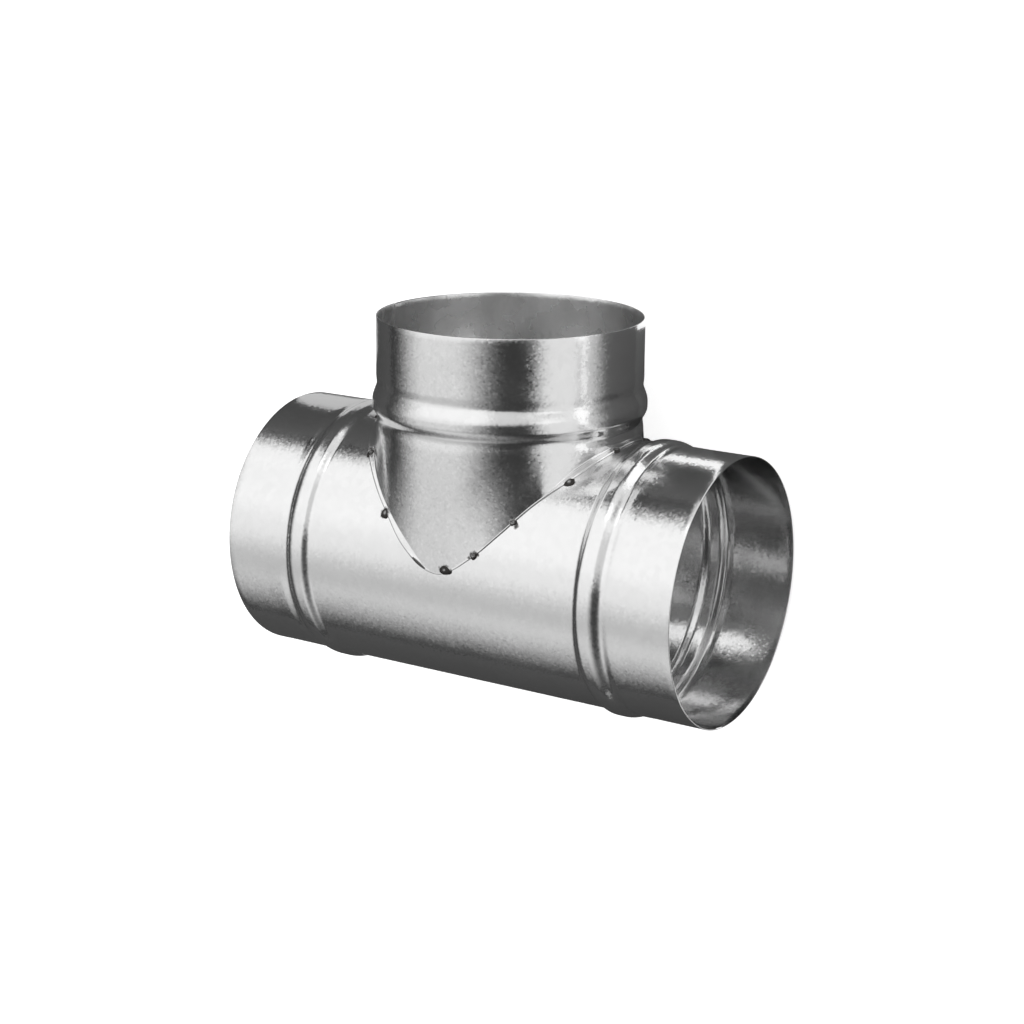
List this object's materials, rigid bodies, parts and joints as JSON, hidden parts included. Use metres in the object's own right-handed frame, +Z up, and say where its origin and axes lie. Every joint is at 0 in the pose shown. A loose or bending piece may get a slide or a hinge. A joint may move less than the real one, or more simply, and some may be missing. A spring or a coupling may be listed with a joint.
{
  "type": "duct tee",
  "caption": "Equal 90 degree tee of rolled galvanised sheet for round duct, with a spot-welded saddle branch and a rolled stop bead on each spigot.",
  "frame": {"origin": "on the floor, under the middle of the whole tee as it lies on its side", "axes": "+X along the run, +Y along the branch towards its mouth, +Z up, square to both tubes"},
  "size_m": [0.2382, 0.1779, 0.1279],
  "materials": {
    "galvanised_sheet": "bright zinc coat with a small spangle",
    "weld_metal": "burnt by the weld, dull"
  },
  "bodies": {
    "root": {"run_tube": "galvanised_sheet", "branch_tube": "galvanised_sheet", "weld_spots": "weld_metal"}
  },
  "joints": []
}
